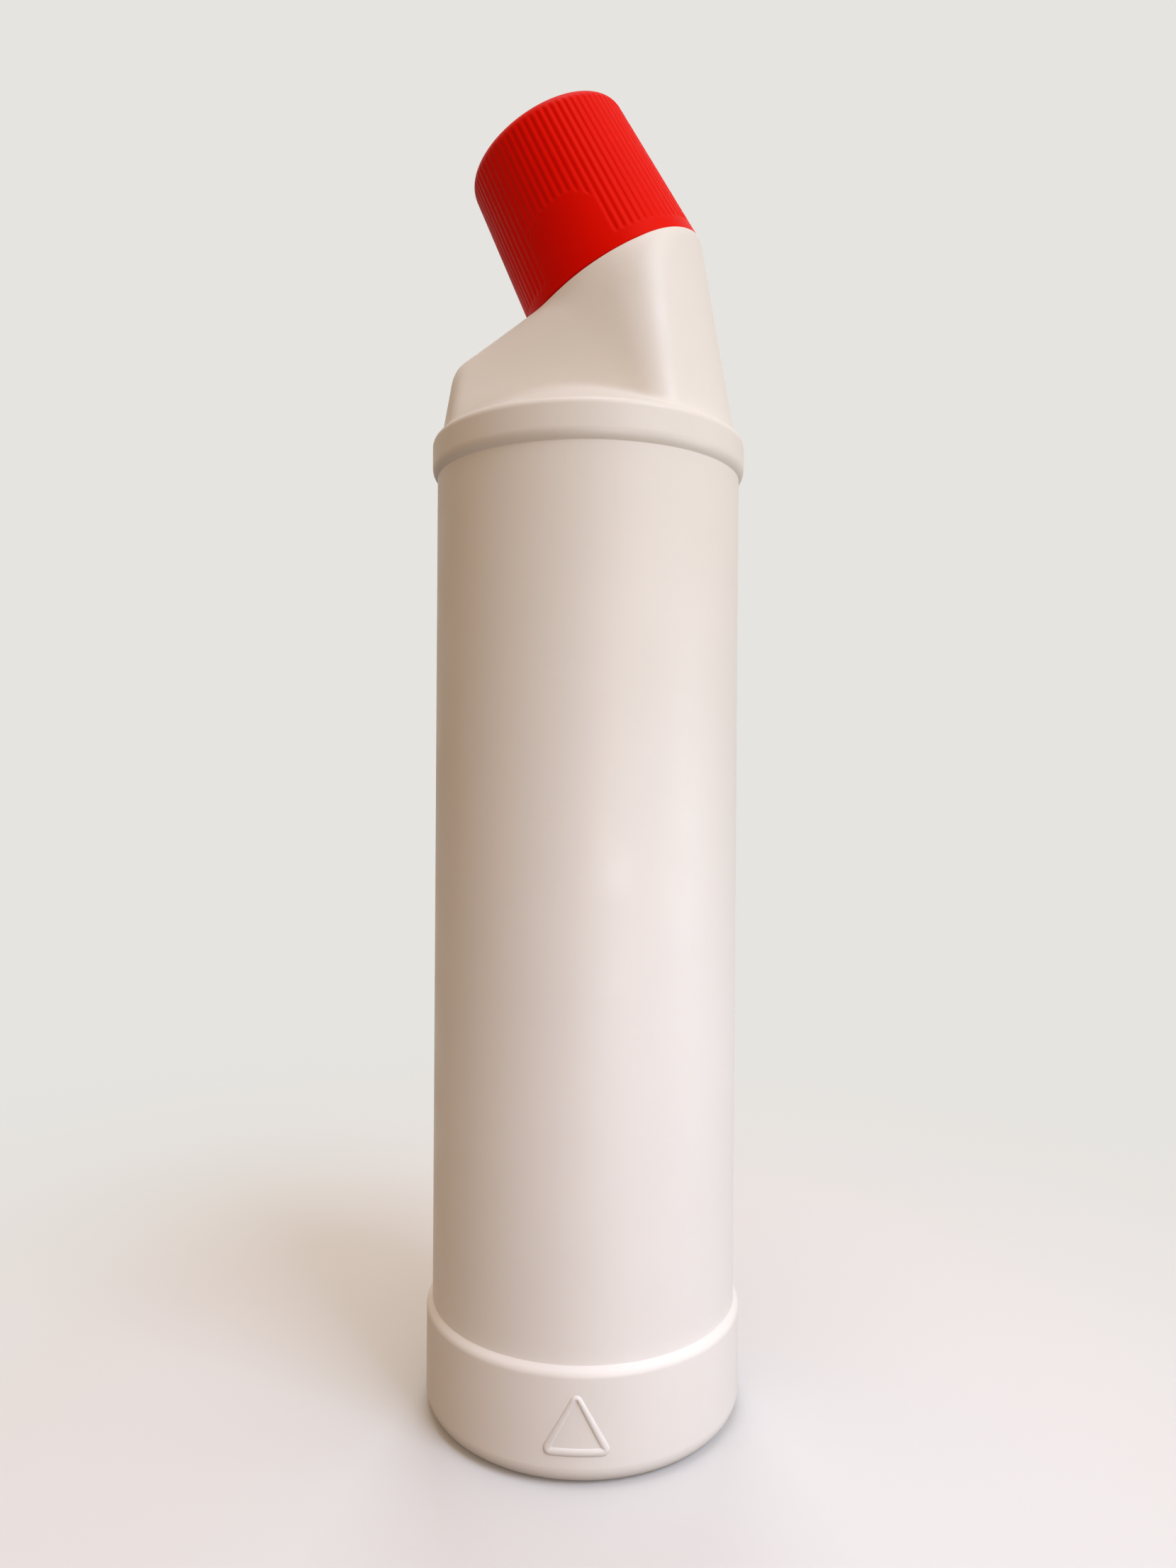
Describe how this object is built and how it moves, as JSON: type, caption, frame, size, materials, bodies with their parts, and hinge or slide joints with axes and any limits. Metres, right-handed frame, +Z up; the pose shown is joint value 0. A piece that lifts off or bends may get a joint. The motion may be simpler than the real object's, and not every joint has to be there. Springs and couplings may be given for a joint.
{
  "type": "toilet cleaner bottle",
  "caption": "Upright round squeeze bottle with an angled neck, a pour nozzle and a ribbed child-resistant screw cap.",
  "frame": {"origin": "middle of the standing plane, on the axis of the round body", "axes": "+Z up the body axis; the neck leans towards -X; the front, with the tactile mark, faces -Y"},
  "size_m": [0.07, 0.07, 0.2887],
  "materials": {
    "bottle_plastic": "opaque white blow-moulded high-density polyethylene, satin",
    "nozzle_plastic": "natural white injection-moulded low-density polyethylene",
    "cap_plastic": "red injection-moulded polypropylene, soft gloss",
    "liner_foam": "white expanded polyethylene wad"
  },
  "bodies": {
    "bottle": {"bottle": "bottle_plastic", "nozzle_insert": "nozzle_plastic"},
    "liner": {"cap_liner": "liner_foam"},
    "cap": {"cap": "cap_plastic"}
  },
  "joints": [
    {"name": "cap_rise", "type": "slide", "parent": "bottle", "child": "liner", "axis": [-0.4617, 0, 0.887], "range_m": [0, 0.00631]},
    {"name": "cap_turn", "type": "hinge", "parent": "liner", "child": "cap", "pos_m": [0.0062, 0, 0.2489], "axis": [-0.4617, 0, 0.887], "range_deg": [0, 540]}
  ],
  "couplings": [
    {"joint": "cap_rise", "follows": "cap_turn", "m_per_rad": 0.00066845}
  ]
}
